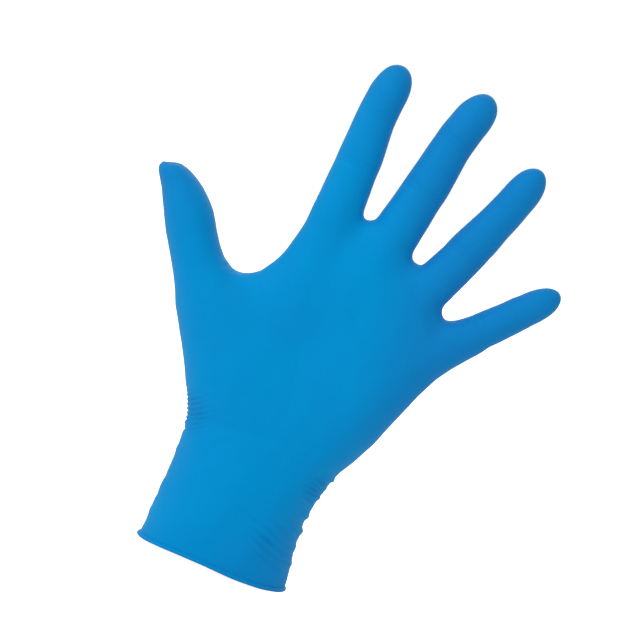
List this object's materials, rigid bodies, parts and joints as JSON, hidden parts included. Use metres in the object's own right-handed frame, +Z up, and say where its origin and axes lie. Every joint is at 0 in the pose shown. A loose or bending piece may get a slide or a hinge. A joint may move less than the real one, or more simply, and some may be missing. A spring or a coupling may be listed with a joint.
{
  "type": "disposable glove",
  "caption": "Disposable blue nitrile glove with a rolled cuff, spread open as worn on a left hand, bending at the wrist and at every finger joint.",
  "frame": {"origin": "centre of the cuff opening, in the middle of the rolled rim", "axes": "+Z up the forearm towards the fingers, +X to the little-finger side, -Y out of the palm"},
  "size_m": [0.186, 0.0464, 0.2387],
  "materials": {
    "nitrile": "satin"
  },
  "bodies": {
    "cuff": {"cuff_bead": "nitrile", "cuff_sleeve": "nitrile"},
    "wrist": {"wrist_band": "nitrile"},
    "palm": {"palm_and_back": "nitrile"},
    "thumb_base": {"thumb_base": "nitrile"},
    "thumb_mid": {"thumb_mid": "nitrile"},
    "thumb_tip": {"thumb_tip": "nitrile"},
    "index_base": {"index_base": "nitrile"},
    "index_mid": {"index_mid": "nitrile"},
    "index_tip": {"index_tip": "nitrile"},
    "middle_base": {"middle_base": "nitrile"},
    "middle_mid": {"middle_mid": "nitrile"},
    "middle_tip": {"middle_tip": "nitrile"},
    "ring_base": {"ring_base": "nitrile"},
    "ring_mid": {"ring_mid": "nitrile"},
    "ring_tip": {"ring_tip": "nitrile"},
    "little_base": {"little_base": "nitrile"},
    "little_mid": {"little_mid": "nitrile"},
    "little_tip": {"little_tip": "nitrile"}
  },
  "joints": [
    {"name": "wrist_tilt", "type": "hinge", "parent": "cuff", "child": "wrist", "pos_m": [0.0022, 0, 0.044], "axis": [0, 1, 0], "range_deg": [-30, 20], "stiffness_Nm_per_rad": 0.06},
    {"name": "wrist_bend", "type": "hinge", "parent": "wrist", "child": "palm", "pos_m": [0.0022, 0, 0.064], "axis": [1, 0, 0], "range_deg": [-50, 55], "stiffness_Nm_per_rad": 0.06},
    {"name": "thumb_swing", "type": "hinge", "parent": "palm", "child": "thumb_base", "pos_m": [-0.01948, 0, 0.07978], "axis": [-0.723, -0.5, -0.4767], "range_deg": [-50, 10], "stiffness_Nm_per_rad": 0.008},
    {"name": "thumb_bend", "type": "hinge", "parent": "thumb_base", "child": "thumb_mid", "pos_m": [-0.0404, 0, 0.1115], "axis": [0, -1, 0], "range_deg": [-45, 5], "stiffness_Nm_per_rad": 0.003},
    {"name": "thumb_end_bend", "type": "hinge", "parent": "thumb_mid", "child": "thumb_tip", "pos_m": [-0.05747, 0, 0.13738], "axis": [0, -1, 0], "range_deg": [-70, 10], "stiffness_Nm_per_rad": 0.001},
    {"name": "index_bend", "type": "hinge", "parent": "palm", "child": "index_base", "pos_m": [0.0002, 0, 0.155], "axis": [0.9956, 0, -0.0941], "range_deg": [-20, 70], "stiffness_Nm_per_rad": 0.004},
    {"name": "index_mid_bend", "type": "hinge", "parent": "index_base", "child": "index_mid", "pos_m": [0.0034, 0, 0.18885], "axis": [0.9956, 0, -0.0941], "range_deg": [0, 85], "stiffness_Nm_per_rad": 0.0015},
    {"name": "index_end_bend", "type": "hinge", "parent": "index_mid", "child": "index_tip", "pos_m": [0.00556, 0, 0.21175], "axis": [0.9956, 0, -0.0941], "range_deg": [0, 57], "stiffness_Nm_per_rad": 0.0005},
    {"name": "middle_bend", "type": "hinge", "parent": "palm", "child": "middle_base", "pos_m": [0.025, 0, 0.15], "axis": [0.9641, 0, -0.2656], "range_deg": [-20, 70], "stiffness_Nm_per_rad": 0.004},
    {"name": "middle_mid_bend", "type": "hinge", "parent": "middle_base", "child": "middle_mid", "pos_m": [0.03509, 0, 0.18664], "axis": [0.9641, 0, -0.2656], "range_deg": [0, 85], "stiffness_Nm_per_rad": 0.0015},
    {"name": "middle_end_bend", "type": "hinge", "parent": "middle_mid", "child": "middle_tip", "pos_m": [0.042, 0, 0.2117], "axis": [0.9641, 0, -0.2656], "range_deg": [0, 57], "stiffness_Nm_per_rad": 0.0005},
    {"name": "ring_bend", "type": "hinge", "parent": "palm", "child": "ring_base", "pos_m": [0.0472, 0, 0.1344], "axis": [0.9121, 0, -0.4099], "range_deg": [-20, 70], "stiffness_Nm_per_rad": 0.004},
    {"name": "ring_mid_bend", "type": "hinge", "parent": "ring_base", "child": "ring_mid", "pos_m": [0.06155, 0, 0.16632], "axis": [0.9121, 0, -0.4099], "range_deg": [0, 85], "stiffness_Nm_per_rad": 0.0015},
    {"name": "ring_end_bend", "type": "hinge", "parent": "ring_mid", "child": "ring_tip", "pos_m": [0.07179, 0, 0.18913], "axis": [0.9121, 0, -0.4099], "range_deg": [0, 57], "stiffness_Nm_per_rad": 0.0005},
    {"name": "little_bend", "type": "hinge", "parent": "palm", "child": "little_base", "pos_m": [0.0649, 0, 0.1228], "axis": [0.6947, 0, -0.7193], "range_deg": [-20, 70], "stiffness_Nm_per_rad": 0.004},
    {"name": "little_mid_bend", "type": "hinge", "parent": "little_base", "child": "little_mid", "pos_m": [0.08001, 0, 0.13739], "axis": [0.6947, 0, -0.7193], "range_deg": [0, 85], "stiffness_Nm_per_rad": 0.0015},
    {"name": "little_end_bend", "type": "hinge", "parent": "little_mid", "child": "little_tip", "pos_m": [0.09295, 0, 0.14989], "axis": [0.6947, 0, -0.7193], "range_deg": [0, 57], "stiffness_Nm_per_rad": 0.0005}
  ],
  "couplings": [
    {"joint": "index_end_bend", "follows": "index_mid_bend", "ratio": 0.667},
    {"joint": "middle_end_bend", "follows": "middle_mid_bend", "ratio": 0.667},
    {"joint": "ring_end_bend", "follows": "ring_mid_bend", "ratio": 0.667},
    {"joint": "little_end_bend", "follows": "little_mid_bend", "ratio": 0.667}
  ]
}
